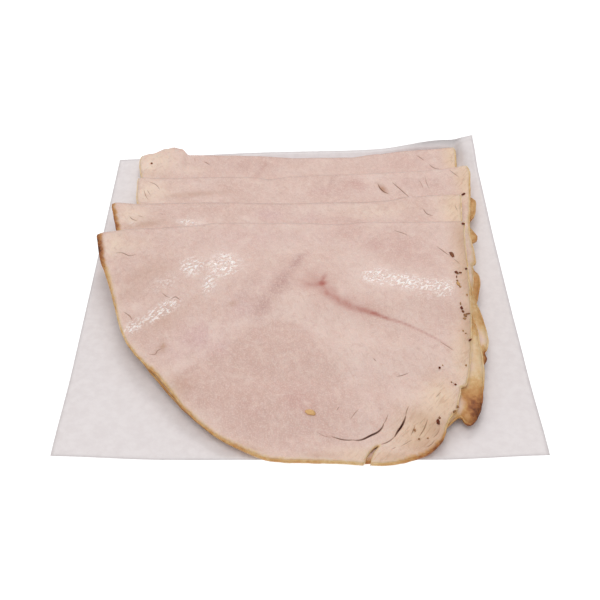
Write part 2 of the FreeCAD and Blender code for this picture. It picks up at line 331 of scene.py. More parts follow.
def half_loop(index, side):
    """Where the edge of a slice's upper (1) or lower (-1) half lies, seen from above."""
    loop = slice_loop(index, 3.0)
    part = loop[loop[:, 1] * side >= 0]
    x = part[:, 0] + MIDDLE_X[index]
    y = FOLD_Y[index] + ROLL - np.abs(part[:, 1])
    order = np.argsort(np.unwrap(np.arctan2(y - FOLD_Y[index] + 30, x - MIDDLE_X[index])))
    return np.stack([x, y], axis=1)[order]


def cover(index, side):
    """1 over half a slice, falling to 0 over the distance in which a slice on top droops past it."""
    stretch = np.array([DRAPE_FRONT / DRAPE_SIDE, 1])
    points, loop = GRID_SPOTS * stretch, half_loop(index, side) * stretch
    away = distance_to_loop(points, loop)
    away[inside_loop(points, loop)] = 0
    return blurred(1 - ease((away - 1) / DRAPE_FRONT).reshape(GRID_X.shape), 3)


def height_grids():
    """The underside of each slice's lower half and of its upper half, over the grid."""
    lower, upper = {}, {}
    lift = np.clip(ground(GRID_X, np.minimum(GRID_Y, GROUND_BACK)), 0, GROUND_MOST)
    lying = lift + PAPER_THICK + PAPER_GAP
    for index in range(1, SLICE_COUNT + 1):
        loose = SLACK * (1 + grain(GRID_SPOTS, 24, index + 50)).reshape(GRID_X.shape)
        under, over = cover(index, -1), cover(index, 1)
        lower[index] = lying + loose * over
        upper[index] = lower[index] + (LAYER + LAYER_GAP) * under
        lying = upper[index] + (LAYER + LAYER_GAP) * over
    return lower, upper


LOWER_GRID, UPPER_GRID = height_grids()


def spline_weights(share):
    """The four weights of a cubic B-spline at a share of the way between two cells."""
    rising = (-3 * share ** 3 + 3 * share ** 2 + 3 * share + 1) / 6
    falling = (3 * share ** 3 - 6 * share ** 2 + 4) / 6
    return [(1 - share) ** 3 / 6, falling, rising, share ** 3 / 6]


def read_grid(field, x, y):
    """The height of a grid at each x and y, smooth between its cells."""
    column = np.clip((x - GRID_LOW[0]) / GRID_STEP, 1, GRID_SIZE[0] - 3)
    row = np.clip((y - GRID_LOW[1]) / GRID_STEP, 1, GRID_SIZE[1] - 3)
    left, front = column.astype(int), row.astype(int)
    height = np.zeros(len(x))
    for j, row_weight in enumerate(spline_weights(row - front)):
        for i, column_weight in enumerate(spline_weights(column - left)):
            height += row_weight * column_weight * field[front + j - 1, left + i - 1]
    return height


def stepped(value, rows):
    """What the rows, each a place and an amount, come to at each value, eased from row to row."""
    places, amounts = [np.array(column) for column in zip(*rows)]
    after = np.clip(np.searchsorted(places, value), 1, len(places) - 1)
    share = (value - places[after - 1]) / (places[after] - places[after - 1])
    return amounts[after - 1] + (amounts[after] - amounts[after - 1]) * ease(share)


def to_space(index, flat, h):
    """Fold a slice: flat places u, v at h outward of the sheet's middle become x, y, z."""
    u, v = flat[:, 0], flat[:, 1]
    x = u + MIDDLE_X[index]
    lift = stepped(u, FOLD_LINE[index])
    fold_y = FOLD_Y[index] + lift / 2
    beyond = np.maximum(np.abs(v) - ROLL, 0)
    angle = np.clip(v / FOLD_RADIUS, -math.pi / 2, math.pi / 2)
    fade = np.exp(-(beyond / LIFT_REACH) ** 2)
    puff = np.exp(-(beyond / PUFF_REACH) ** 2)
    flat_y = fold_y - beyond - (1 - fade) * lift / 2
    upper, rolling = v > 0, np.abs(v) < ROLL

    def middle(px, py):
        """The height of the sheet's middle on the half that each point belongs to."""
        halves = read_grid(UPPER_GRID[index], px, py), read_grid(LOWER_GRID[index], px, py)
        return np.where(upper, *halves) + LAYER / 2

    slope_x = (middle(x + SLOPE_REACH, flat_y) - middle(x - SLOPE_REACH, flat_y)) / (2 * SLOPE_REACH)
    slope_y = (middle(x, flat_y + SLOPE_REACH) - middle(x, flat_y - SLOPE_REACH)) / (2 * SLOPE_REACH)
    low = read_grid(LOWER_GRID[index], x, fold_y) + LAYER / 2
    high = read_grid(UPPER_GRID[index], x, fold_y) + LAYER / 2
    flat_z = middle(x, flat_y) + np.where(upper, (low + 2 * FOLD_RADIUS - high) * puff, 0)
    roll_z = low + FOLD_RADIUS * (1 + np.sin(angle))
    sinking = np.where(rolling, (1 + np.sin(angle)) / 2, upper)
    z = np.where(rolling, roll_z, flat_z) + lift / 2 * fade * np.where(lift > 0, 1, sinking)
    y = np.where(rolling, fold_y + FOLD_RADIUS * np.cos(angle), flat_y)
    up = np.where(upper, 1, -1)
    settle = up * (1 - puff)
    flat_normal = np.stack([-slope_x * settle, -slope_y * settle, up], axis=1)
    roll_normal = np.stack([0 * u, np.cos(angle), np.sin(angle)], axis=1)
    normal = np.where(rolling[:, None], roll_normal, flat_normal)
    return np.stack([x, y, z], axis=1) + normal * (h / np.linalg.norm(normal, axis=1))[:, None]


# ------------------------ meshes


def mesh_piece(name, points, faces, material, attributes):
    """A smooth mesh piece from points in millimetres, with its attributes on points."""
    mesh = bpy.data.meshes.new(name)
    mesh.from_pydata([tuple(p) for p in np.array(points) * MM], [], faces)
    mesh.validate()
    mesh.update()
    for key, values in attributes.items():
        values = np.array(values, np.float32)
        kind, field = ("FLOAT_VECTOR", "vector") if values.ndim == 2 else ("FLOAT", "value")
        mesh.attributes.new(key, kind, "POINT").data.foreach_set(field, values.ravel())
    mesh.polygons.foreach_set("use_smooth", [True] * len(mesh.polygons))
    mesh.materials.append(material)
    return place_object(name, mesh)


def place_object(name, data, location=(0, 0, 0)):
    """A new object in the scene."""
    made = bpy.data.objects.new(name, data)
    made.location = location
    bpy.context.scene.collection.objects.link(made)
    return made


def slab(flat, triangles):
    """Faces of a closed slab: the triangles on top, the same below and a wall round the edge."""
    count = len(flat)
    edges = dict.fromkeys(edge for a, b, c in triangles for edge in ((a, b), (b, c), (c, a)))
    faces = [tuple(t) for t in triangles]
    faces += [(c + count, b + count, a + count) for a, b, c in triangles]
    return faces + [(b, a, a + count, b + count) for a, b in edges if (b, a) not in edges]


# ------------------------ materials


def srgb(red, green, blue):
    """A colour given as 0 to 255 screen values, as a linear one with alpha."""
    values = [c / 255 for c in (red, green, blue)]
    linear = [c / 12.92 if c < 0.04045 else ((c + 0.055) / 1.055) ** 2.4 for c in values]
    return (*linear, 1.0)


def new_material(name):
    """An empty node material, and its node tree."""
    material = bpy.data.materials.new(name)
    material.use_nodes = True
    material.node_tree.nodes.clear()
    return material, material.node_tree


def add(tree, kind, inputs=None, **settings):
    """A node with its settings made and its inputs set to values or linked to sockets."""
    made = tree.nodes.new(kind)
    for key, value in settings.items():
        setattr(made, key, value)
    for key, value in (inputs or {}).items():
        if isinstance(value, bpy.types.NodeSocket):
            tree.links.new(value, made.inputs[key])
        else:
            made.inputs[key].default_value = value
    return made


def mark(tree, name, output="Fac"):
    """An attribute of the mesh."""
    return add(tree, "ShaderNodeAttribute", attribute_name=name).outputs[output]


def cloud(tree, where, scale, detail=3, rough=0.5, distort=0):
    """Noise from about 0.3 to 0.7, with features one over scale across."""
    inputs = {"Vector": where, "Scale": scale, "Detail": detail, "Roughness": rough, "Distortion": distort}
    return add(tree, "ShaderNodeTexNoise", inputs).outputs["Fac"]


def streaks(tree, where, wide, long, turn, detail, rough, distort):
    """Noise in streaks that wide and long, turned about the sheet's normal."""
    turned = add(tree, "ShaderNodeVectorRotate", {"Vector": where, "Angle": turn}, rotation_type="Z_AXIS")
    inputs = {0: turned.outputs[0], 1: (1 / wide, 1 / long, 1)}
    scaled = add(tree, "ShaderNodeVectorMath", inputs, operation="MULTIPLY")
    return cloud(tree, scaled.outputs[0], 1, detail, rough, distort)


def between(tree, value, low, high, out_low=0, out_high=1):
    """A value carried from low..high to out_low..out_high with an even S, and held at the ends."""
    inputs = {"Value": value, "From Min": low, "From Max": high, "To Min": out_low, "To Max": out_high}
    return add(tree, "ShaderNodeMapRange", inputs, interpolation_type="SMOOTHSTEP").outputs[0]


def product(tree, first, second):
    """Two values multiplied."""
    return add(tree, "ShaderNodeMath", {0: first, 1: second}, operation="MULTIPLY").outputs[0]


def total(tree, first, second):
    """Two values added."""
    return add(tree, "ShaderNodeMath", {0: first, 1: second}, operation="ADD").outputs[0]


def layered(tree, colour, layers):
    """A colour with layers over it, each a share from 0 to 1 and a colour."""
    for share, over in layers:
        inputs = {0: share, 6: colour, 7: over}
        colour = add(tree, "ShaderNodeMix", inputs, data_type="RGBA").outputs[2]
    return colour


def ramp(tree, value, stops):
    """A colour that passes through the stops, each a place from 0 to 1 and a colour."""
    made = add(tree, "ShaderNodeValToRGB", {"Fac": value})
    elements = made.color_ramp.elements
    while len(elements) < len(stops):
        elements.new(0.5)
    for element, (place, colour) in zip(elements, stops):
        element.position = place
        element.color = colour
    return made.outputs["Color"]


def surface(tree, colour, rough, bumps, constants):
    """A Principled surface over the bumps, each a height, how far it rises in metres and a strength."""
    inputs = {"Base Color": colour, "Roughness": rough, **constants}
    for height, distance, strength in bumps:
        bump = {"Height": height, "Distance": distance, "Strength": strength}
        if "Normal" in inputs:
            bump["Normal"] = inputs["Normal"]
        inputs["Normal"] = add(tree, "ShaderNodeBump", bump).outputs["Normal"]
    shader = add(tree, "ShaderNodeBsdfPrincipled", inputs)
    add(tree, "ShaderNodeOutputMaterial", {"Surface": shader.outputs[0]})


# The tones of browned skin from pale fat, 0, to dark brown, 1.
SKIN_TONES = [
    (0, srgb(234, 209, 190)), (0.22, srgb(228, 199, 158)), (0.4, srgb(214, 176, 124)),
    (0.54, srgb(202, 154, 98)), (0.68, srgb(188, 132, 74)), (0.84, srgb(152, 90, 46)),
    (1, srgb(88, 44, 22)),
]


def meat_material():
    """Moist roast breast: pale pink, with fat, veins, stains, cracks, fine grain, painted shade and glints.
    """
    material, tree = new_material("roast_breast")
    flat = mark(tree, "flat", "Vector")
    broad = cloud(tree, flat, 1 / 14, 2)
    patch = cloud(tree, flat, 1 / 4.5, 4, 0.55, 0.6)
    pebble = cloud(tree, flat, 1 / 1.7, 3, 0.6, 0.3)
    speckle = cloud(tree, flat, 1 / 0.45, 2, 0.6)
    fibres = streaks(tree, flat, 0.6, 3.6, 0.5, 2, 0.5, 0.8)
    crease = streaks(tree, flat, 0.9, 4.5, -0.75, 3, 0.6, 1.2)
    ripple = streaks(tree, flat, 1.5, 0.9, 0.6, 2, 0.5, 1)
    tan, wet_and_painted_sheen, crack, tone = [mark(tree, name) for name in ("tan", "wet_and_painted_sheen", "crack", "tone")]
    creased = product(tree, tan, between(tree, crease, 0.51, 0.62, 0, 0.48))
    crust = product(tree, mark(tree, "crust"), between(tree, tone, 0, 0.35, 0.3, 1))
    crust_tone = total(tree, tone, between(tree, pebble, 0.3, 0.7, -0.09, 0.09))
    # Painted glints: near-white specks painted into the colour where the meat is moist.
    painted_glints = between(tree, total(tree, ripple, product(tree, speckle, 0.35)), 0.67, 0.78)
    # The cracks' colour: brown torn meat, darkened towards near black by painted shade in the groove.
    crack_shade_colour = layered(tree, srgb(160, 102, 58), [(crack, srgb(62, 16, 2))])
    colour = layered(tree, srgb(216, 183, 171), [
        (between(tree, broad, 0.35, 0.65), srgb(222, 192, 181)),
        (product(tree, mark(tree, "muscle"), 0.75), srgb(208, 172, 160)),
        (mark(tree, "lilac"), srgb(213, 176, 173)),
        (mark(tree, "rosy"), srgb(203, 160, 150)),
        (mark(tree, "pale"), srgb(231, 205, 194)),
        (mark(tree, "shade"), srgb(184, 140, 132)),
        (product(tree, mark(tree, "cream"), between(tree, patch, 0.25, 0.6, 0.75, 1)), srgb(242, 217, 195)),
        (between(tree, patch, 0.5, 0.72, 0, 0.42), srgb(232, 206, 193)),
        (between(tree, patch, 0.5, 0.28, 0, 0.32), srgb(202, 164, 150)),
        (between(tree, pebble, 0.5, 0.68, 0, 0.28), srgb(236, 213, 202)),
        (between(tree, pebble, 0.48, 0.32, 0, 0.25), srgb(192, 152, 138)),
        (between(tree, speckle, 0.46, 0.66, 0, 0.4), srgb(238, 216, 206)),
        (between(tree, fibres, 0.54, 0.74, 0, 0.24), srgb(196, 154, 140)),
        (tan, srgb(230, 198, 164)),
        (creased, srgb(178, 130, 94)),
        (product(tree, mark(tree, "vein"), between(tree, pebble, 0.2, 0.6, 0.75, 1.15)), srgb(172, 92, 78)),
        (mark(tree, "brown"), srgb(172, 122, 84)),
        (crust, ramp(tree, crust_tone, SKIN_TONES)),
        # Painted shade in a thin line along the back of each fold's roll.
        (product(tree, mark(tree, "painted_fold_shade"), 0.42), srgb(140, 104, 96)),
        # A painted sheen that lightens the moist patches, and painted glints over it.
        (product(tree, wet_and_painted_sheen, 0.2), srgb(238, 216, 207)),
        (product(tree, painted_glints, between(tree, wet_and_painted_sheen, 0.15, 0.8, 0, 0.92)), srgb(255, 246, 242)),
        # The cracks, brown with their painted shade.
        (crack, crack_shade_colour),
    ])
    rough = total(tree, between(tree, pebble, 0.3, 0.7, 0.44, 0.6), product(tree, wet_and_painted_sheen, -0.3))
    rough = total(tree, rough, product(tree, crack, 0.4))
    glints = product(tree, ripple, between(tree, wet_and_painted_sheen, 0, 1, 0.05, 1))
    bumps = [(creased, 0.0003, 0.6), (patch, 0.0003, 0.5), (pebble, 0.00016, 0.7), (fibres, 0.00008, 0.5),
             (speckle, 0.00006, 0.6), (glints, 0.00026, 1)]
    constants = {"Subsurface Weight": 0.12, "Subsurface Scale": 0.002, "Subsurface Radius": (1, 0.45, 0.3),
                 "Specular IOR Level": 0.5}
    surface(tree, colour, rough, bumps, constants)
    return material


def skin_material():
    """The browned skin round a slice: from pale fat through gold to dark brown, finely pitted."""
    material, tree = new_material("browned_skin")
    flat = mark(tree, "flat", "Vector")
    mottle = cloud(tree, flat, 1 / 2.4, 4, 0.6)
    fine = cloud(tree, flat, 1 / 0.5, 3, 0.6)
    tone = total(tree, mark(tree, "tone"), between(tree, mark(tree, "across"), 0.05, 1, -0.04, 0.08))
    tone = total(tree, tone, between(tree, mottle, 0.3, 0.7, -0.11, 0.11))
    specks = (between(tree, fine, 0.45, 0.7, 0, 0.18), srgb(158, 110, 68))
    colour = layered(tree, ramp(tree, tone, SKIN_TONES), [specks])
    rough = between(tree, mottle, 0.35, 0.65, 0.36, 0.55)
    constants = {"Subsurface Weight": 0.1, "Subsurface Scale": 0.003, "Subsurface Radius": (1, 0.4, 0.2),
                 "Specular IOR Level": 0.25}
    surface(tree, colour, rough, [(mottle, 0.0003, 0.6), (fine, 0.0001, 0.6)], constants)
    return material


def paper_material():
    """Waxed deli paper: cool grey white, faintly mottled, with a soft sheen."""
    material, tree = new_material("deli_paper")
    flat = mark(tree, "flat", "Vector")
    pulp = cloud(tree, flat, 1 / 3, 4, 0.6)
    fibre = cloud(tree, flat, 1 / 0.6, 3, 0.6)
    colour = layered(tree, srgb(228, 220, 220), [(between(tree, pulp, 0.3, 0.7), srgb(235, 228, 228))])
    rough = between(tree, pulp, 0.35, 0.65, 0.4, 0.52)
    bumps = [(pulp, 0.0001, 0.25), (fibre, 0.00004, 0.35)]
    surface(tree, colour, rough, bumps, {"Specular IOR Level": 0.4})
    return material


def pepper_material():
    """Cracked pepper and browned crumbs: near black to red-brown, rough and pitted."""
    material, tree = new_material("cracked_pepper")
    grit = cloud(tree, mark(tree, "flat", "Vector"), 1 / 0.35, 4, 0.65)
    colour = layered(tree, srgb(62, 20, 8), [
        (between(tree, grit, 0.35, 0.65), srgb(136, 62, 34)), (mark(tree, "tone"), srgb(222, 178, 122))])
    rough = between(tree, grit, 0.3, 0.7, 0.42, 0.7)
    surface(tree, colour, rough, [(grit, 0.00015, 0.8)], {"Specular IOR Level": 0.2})
    return material


# ------------------------ the slices

MEAT = meat_material()
SKIN = skin_material()
PAPER = paper_material()
PEPPER = pepper_material()

# The tear at the front slice's edge, and the cracks of each slice laid flat: half the width, the
# depth and the points along it.
TEAR = [
    (27.4, 97.3), (27.9, 95), (28.6, 93.4), (29.5, 92.1), (30.5, 90.7), (29, 91.4), (27.5, 93), (26.3, 95),
    (25.8, 97.2),
]
CRACKS = {
    1: [(0.14, 0.3, [(49.8, 4.8), (51.3, 6.2), (52.9, 8)]),
        (0.16, 0.3, [(54.7, 10.3), (56.2, 12.6), (57.4, 13.4), (58.8, 13.7)]),
        (0.16, 0.3, [(-39.6, 5.6), (-38.4, 6.3), (-37, 7.5)]), (0.12, 0.2, [(-43.6, 3.5), (-43.2, 5.7)])],
    2: [(0.14, 0.3, [(-61.3, 4), (-58.3, 5.7), (-56.4, 8.5)]),
        (0.13, 0.3, [(-62.8, 8.7), (-61.4, 13), (-60.2, 15.3)]), (0.12, 0.2, [(-61.4, 9), (-59.7, 12.3)]),
        (0.17, 0.4, [(36.6, 7.4), (39.8, 11.8), (42.7, 16.3)]),
        (0.2, 0.5, [(30.9, 7.8), (31.6, 10.2), (32.8, 12.2), (34.8, 13.8)]),
        (0.1, 0.2, [(47.2, 6.5), (48, 8.8), (48.5, 11)]),
        (0.11, 0.2, [(49.9, 5.6), (50.2, 8.8), (51, 11.9)]),
        (0.13, 0.3, [(59.7, 2.4), (61.2, 4.6), (63.1, 7)])],
    3: [(0.16, 0.4, [(-60.2, 8.5), (-59, 10), (-56.9, 11.5)]), (0.12, 0.3, [(-57.3, 8), (-54.9, 9.1)]),
        (0.12, 0.2, [(-48.8, 7.3), (-47.3, 7.7)]), (0.16, 0.3, [(51.4, 8), (53, 11), (54.9, 12)]),
        (0.12, 0.2, [(63.7, 7), (63.9, 8.5), (64.3, 10)])],
    4: [(0.1, 0.1, [(11.6, 86.2), (13.4, 87.4), (16, 88.2)]),
        (0.18, 0.5, [(16.1, 87.8), (19, 88.8), (21.1, 89.1), (23.2, 89)]),
        (0.25, 0.7, [(22.8, 89.2), (25, 89), (28.1, 87.5), (30.3, 86.4), (31.6, 85.1), (32.2, 83.8)]),
        (0.12, 0.3, [(32, 84.2), (32.9, 82.8), (33.6, 81.2)]),
        (0.13, 0.3, [(40.2, 78.5), (39.3, 80.3), (38.9, 82)]),
        (0.28, 0.8, [(39, 81.6), (38.6, 82.7), (37.5, 84.7), (36.2, 86.4), (35.2, 88.1)]),
        (0.16, 0.5, [(35.3, 87.9), (34, 89.1), (32.6, 90), (31, 90.5)]),
        (0.15, 0.3, [(-60, 12), (-57.5, 12.5), (-54.2, 14.6), (-52, 14.2)]),
        (0.14, 0.3, [(-53.6, 39.2), (-51, 41.5), (-50.1, 43.1)]),
        (0.12, 0.2, [(-40.9, 33), (-39.3, 34.6), (-37.7, 35.6)]),
        (0.15, 0.3, [(-37.5, 36.1), (-36, 35.4), (-34.3, 36.7)]),
        (0.13, 0.2, [(-43, 57.1), (-40.7, 57.4), (-40.2, 56.3), (-38.6, 55.4)]),
        (0.15, 0.3, [(55.3, 13.7), (57.1, 16), (59.1, 18.6)]),
        (0.12, 0.2, [(60.4, 20.2), (61.4, 21.6), (62.4, 23.2)]),
        (0.14, 0.3, [(40.8, 5.8), (43.6, 7), (45.5, 8.2)]),
        (0.13, 0.2, [(17.8, 80), (18.2, 79.4), (18.6, 78.7)]),
        (0.11, 0.2, [(22, 82.6), (23.4, 80.9), (24.6, 79.6)]), (0.12, 0.2, [(29.9, 61.6), (31, 62.7)]),
        (0.14, 0.2, [(37.2, 67.5), (38.9, 67.1), (41, 66.3)]),
        (0.15, 0.3, [(45.7, 82.5), (44.4, 85.4), (42.7, 87.9)]),
        (0.14, 0.3, [(41.7, 84.5), (41.1, 85.8), (40.3, 87.4)]),
        (0.12, 0.2, [(50.8, 73.2), (49.9, 74.3), (48.8, 75.4)]), (0.12, 0.2, [(54.4, 69.2), (55.6, 70.5)]),
        (0.13, 0.2, [(52.2, 55.5), (54.4, 57.2), (56, 58.5)]),
        (0.12, 0.2, [(47.3, 89), (46.2, 90.5), (44.4, 91.7)]),
        (0.12, 0.2, [(49.2, 85.3), (48.4, 86.8), (47, 88.2)]),
        (0.11, 0.2, [(36.9, 91.3), (38.7, 90.1), (40.5, 89)]), (0.12, 0.2, [(-64.2, 16.9), (-62.8, 18.3)]),
        (0.11, 0.2, [(34.1, 92.3), (35.5, 91.5)])],
}

# Stains in the meat of each slice, by kind: strength, u, v, how long, how wide, and its turn.  Where
# it is moist it glints, and its colour also gets a painted sheen and painted glints.
STAINS = {
    1: {
        "shade": [(0.55, -14.3, 8, 7, 1.1, -1.15), (0.3, -24, 9, 2.5, 2.5, 0)],
        "cream": [(0.95, -61, 8, 10, 8, 0), (0.35, -44.9, 10.9, 6, 3, 0)],
        "brown": [(0.14, -60, 14, 9, 1.6, 0.3)],
        "tan": [(0.6, 64, 8, 3.5, 12, 0)],
        "rosy": [(0.35, -20, 6, 9, 5, 0), (0.4, 45, 10, 10, 4, 0.2)],
        "pale": [(0.45, 10, 12, 8, 3, 0.2)],
    },
    2: {
        "shade": [(0.5, 12.7, 4.8, 4, 0.8, -1.2)],
        "brown": [(0.75, 32.6, 10.4, 1, 2.8, -0.5), (0.3, -42, 11.6, 12, 1.8, -0.08)],
        "vein": [(0.3, 32.9, 11, 1, 2.2, -0.5)],
        "rosy": [(0.95, 22.6, 8, 5.5, 3.8, 0.1), (0.8, 8.6, 11, 5, 2.6, 0.1), (0.55, 15.6, 10.5, 4, 3, 0.1),
                 (0.45, 42, 8, 4, 5, -0.6), (0.4, 52, 9, 3, 5, -0.6)],
        "pale": [(0.55, 28, 5, 3, 4, 0.4), (0.45, 0, 9, 4, 4, 0.4)],
        "cream": [(0.85, -61, 10, 9, 8, 0)],
        "tan": [(0.6, 65, 9, 4, 12, 0)],
    },
    3: {
        "cream": [(0.8, -60, 8, 7, 7, 0), (0.65, 62, 10, 6, 10, 0), (0.45, 34, 7, 14, 4, 0)],
        "brown": [(0.36, -54, 14, 8, 2.2, -0.1)],
        "pale": [(0.85, -34, 13.5, 4, 2.6, 0.3), (0.85, -15.4, 11, 3.6, 2.2, 0.4),
                 (0.55, -26, 12, 3, 2, 0.4), (0.6, 13.6, 5, 4, 3.4, 0.4), (0.5, 3.6, 4, 3, 3.4, 0.4)],
        "lilac": [(0.75, -6.7, 8.2, 5, 4, 0), (0.5, 8, 10, 5, 4, 0)],
        "rosy": [(0.4, 22, 12, 9, 4, 0)],
        "tan": [(0.6, 63.5, 10, 4, 12, 0)],
        "wet_and_painted_sheen": [(0.9, -37, 13.5, 5, 2.6, 0.3), (0.5, -58, 13, 3, 2, 0.3)],
    },
    4: {
        "vein": [(0.8, 14, 32.4, 2.4, 1.9, -0.6), (0.62, 14.6, 29.6, 2.4, 1, -1.2),
                 (0.5, 11.4, 32.6, 4.2, 2.2, 0.2), (0.42, 16.6, 35.6, 3.4, 2.4, 0.6),
                 (0.28, 11, 31, 6.5, 4.6, 0.2), (0.26, 22, 40.6, 9, 3, 0.33)],
        "shade": [(0.85, 5.4, 21.2, 5.6, 1.8, 2.1), (0.85, -0.4, 32.4, 8, 3.2, 2.02),
                  (0.66, -5.4, 40.8, 7.5, 3.2, 2.05), (0.34, -9.5, 33, 9, 4.5, 2)],
        "rosy": [(0.95, 33.6, 13, 4.6, 3.4, 0.3), (0.6, 43, 15, 10, 7, 0.5), (0.45, 24, 6, 8, 5, 0.2),
                 (0.85, 5.6, 76.2, 5.4, 4, 0.5), (0.45, -8, 79, 5, 3, 0.2)],
        "lilac": [(0.85, -26.3, 52.8, 7, 6, 0.2), (0.6, -20, 56, 4, 4, 0), (0.45, -33, 57, 6, 4, 0.4),
                  (0.45, -13, 42, 5, 6, 0.2), (0.35, -9, 9, 22, 5, 0)],
        "pale": [(0.7, -30, 60.8, 6.5, 1.9, -0.5), (0.75, -21.6, 50.4, 2, 5, 0),
                 (0.8, -9, 46.2, 9, 1.8, -0.35), (0.7, 3, 40.6, 8, 5, 0.4), (0.55, 14.5, 50, 6, 3.5, 0.9),
                 (0.6, 24.5, 56, 9, 9, -0.3), (0.45, 35, 62, 10, 7, 0.3), (0.4, 3, 12, 10, 4, 0),
                 (0.5, -50, 38, 6, 3, -0.6), (0.35, 42, 44, 9, 4, 0.5)],
        "brown": [(0.18, -46.9, 24.2, 8, 5, -0.4), (0.12, -52.3, 31, 5, 4, -0.4),
                  (0.22, -40, 44, 7, 4, -0.4), (0.26, -33, 70, 5, 4, 0), (0.35, -16, 39.9, 1.4, 1, 0),
                  (0.6, -38.4, 54.8, 0.9, 1.6, -0.2), (0.3, -39, 56, 2.2, 1.6, 0),
                  (0.42, 48, 85.4, 4.6, 4.4, 0.3), (0.4, 44, 90.6, 6, 3, -0.3),
                  (0.28, 44.4, 82.1, 4.5, 2.2, 0.3), (0.28, 36, 94.8, 7, 1.6, -0.1),
                  (0.45, 41.5, 85.9, 0.8, 0.7, 0), (0.4, 42.6, 88.8, 0.9, 0.6, 0),
                  (0.35, 45.3, 88.4, 0.7, 0.6, 0), (0.46, 65, 12, 3, 14, 0), (0.46, 64.4, 30, 3, 14, 0),
                  (0.46, 62.8, 48, 3, 12, 0.1), (0.28, 12, 94.4, 6, 1.2, 0), (0.24, -8, 91.8, 6, 1.2, 0.4)],
        "cream": [(0.85, -61.6, 7.6, 5.5, 6, 0), (0.45, -55, 9, 7, 4, 0), (0.6, 58, 62.6, 4, 8, 0),
                  (0.75, 49.4, 77.6, 7, 8, 0), (0.5, 40.3, 91.4, 9, 5, 0), (0.35, 22.2, 94, 12, 2.5, 0)],
        "tan": [(0.75, 44, 86, 9.5, 7, -0.5), (0.6, 52, 77, 6, 9, 0), (0.55, 30, 95, 12, 3, 0),
                (0.55, 60.5, 58, 4, 14, 0.1), (0.5, 64, 25, 4, 22, 0)],
        "wet_and_painted_sheen": [(1, -20, 23, 6, 6.5, 0.4), (0.9, -31, 23, 5, 5, 0.8), (0.8, -25, 31.3, 3, 5, 0),
                (1, -40.2, 40.3, 7.5, 3.2, -0.62), (0.8, -49.2, 45.6, 5, 3, -0.62),
                (1, 33.5, 28.6, 6, 4.4, 0.2), (0.9, 42, 31, 7, 4.4, 0.2), (0.8, 49, 32.4, 6, 4, 0.25),
                (0.9, 55, 33.8, 4.5, 4.6, 0.3), (0.45, -40, 29, 8, 5, -0.3), (0.4, 48.1, 37.6, 6, 3, 0.2),
                (0.3, -34.3, 68.9, 4, 2, 0.9)],
    },
}
# The long vein of the front slice: points along it with its half width and its strength there.
VEIN = [
    (13.6, 33.2, 2.2, 0.46), (15.2, 36, 2.1, 0.54), (17.4, 38.4, 2.1, 0.58), (20, 40.2, 1.9, 0.58),
    (22.4, 41.5, 1.7, 0.5), (25.7, 42.9, 1.4, 0.54), (28.8, 43.8, 1.1, 0.6), (32, 44.7, 0.8, 0.64),
    (34.6, 45.9, 0.6, 0.6), (37.6, 46.8, 0.5, 0.55), (40.4, 47.6, 0.45, 0.5), (43.5, 49.2, 0.45, 0.46),
    (46.8, 51.2, 0.45, 0.42), (50, 53.5, 0.4, 0.36), (53.2, 55.8, 0.35, 0.28), (56, 58.1, 0.35, 0.2),
]
# The round muscle that shows darker in the middle of the front slice: points round it.
MUSCLE = [
    (-18.8, 57.3), (-12.1, 52.5), (-6.1, 48.6), (-0.8, 46.7), (7.5, 49.5), (12.1, 56), (16.1, 63),
    (20.8, 67.7), (23.6, 75.5), (20.8, 83.8), (13.6, 89.5), (-0.5, 91), (-13.8, 87), (-27.7, 76.3),
    (-33.6, 68), (-30.4, 64), (-25.8, 60.6),
]


def add_tear(loop):
    """The front slice's edge open at the tear, from the tear's left lip round to its right, and the
    rows that run into the tear and out of it."""
    gap = (loop[:, 1] > 90) & (loop[:, 0] < TEAR[0][0] + 0.3) & (loop[:, 0] > TEAR[-1][0] - 0.3)
    start = np.flatnonzero(gap & ~np.roll(gap, -1))[0] + 1
    kept = np.roll(loop, -start, axis=0)[:np.count_nonzero(~gap)]
    line = np.vstack([np.linspace(a, b, 5, endpoint=False) for a, b in zip(TEAR, TEAR[1:])])
    return kept, np.pad(line, ((0, 0), (0, 2)))


def muscle_strength(flat):
    """How much of the front slice's round muscle there is at each point."""
    loop = smooth_loop(MUSCLE, 1.5)
    away = distance_to_loop(flat, loop)
    depth = np.where(inside_loop(flat, loop), away, -away)
    soft = 0.9 + 5 * ease((flat[:, 1] - 62) / 20)
    return ease(0.5 + (depth + 0.7 * grain(flat, 3, 7)) / (2 * soft))


def along_line(points):
    """An open curve through the points, with the share of the way along it as a third column."""
    rows = np.array(points, float)
    ends = [2 * rows[0] - rows[1], *rows, 2 * rows[-1] - rows[-2]]
    samples = []
    for index in range(1, len(rows)):
        samples += curve_stretch(ends[index - 1:index + 3], CRACK_STEP)
    middle = np.array(samples + [rows[-1]])
    length = np.concatenate([[0], np.cumsum(np.linalg.norm(np.diff(middle, axis=0), axis=1))])
    return np.column_stack([middle, length / length[-1]])


def crack_points(half_width, line):
    """Points along a crack, and on each lip of it, that narrow towards both ends."""
    path = along_line(line)
    ahead = np.gradient(path[:, :2], axis=0)
    ahead /= np.linalg.norm(ahead, axis=1)[:, None]
    lip = np.stack([-ahead[:, 1], ahead[:, 0]], axis=1) * half_width * crack_taper(path[:, 2])[:, None]
    return np.vstack([path[:, :2] + lip * reach for reach in CRACK_LIPS])


def crack_taper(share):
    """How much of its width a crack has at a share of the way along it."""
    return 0.35 + 0.65 * np.sqrt(np.clip(np.sin(math.pi * share), 0, 1))


